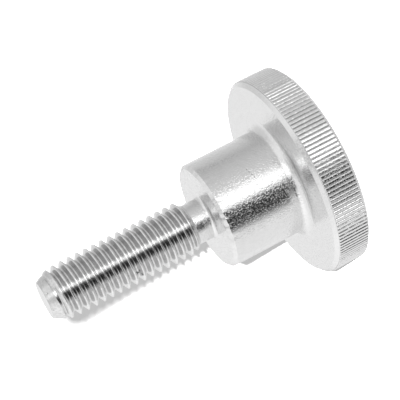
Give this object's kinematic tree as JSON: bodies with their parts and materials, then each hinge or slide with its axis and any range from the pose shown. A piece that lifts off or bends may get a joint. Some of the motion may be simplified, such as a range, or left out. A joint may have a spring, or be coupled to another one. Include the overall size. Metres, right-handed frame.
{
  "type": "thumb screw",
  "caption": "One-piece turned thumb screw: thick round head with a straight-knurled rim, plain cylindrical collar, necked undercut and a threaded shank with a chamfered tip.",
  "frame": {"origin": "centre of the flat outer face of the head, which the screw stands on", "axes": "+Z along the screw's axis, from the head to the tip of the thread"},
  "size_m": [0.03, 0.03, 0.0429],
  "materials": {
    "steel": "bright turned, fine circular tool lines"
  },
  "bodies": {
    "root": {"thumb_screw": "steel"}
  },
  "joints": []
}
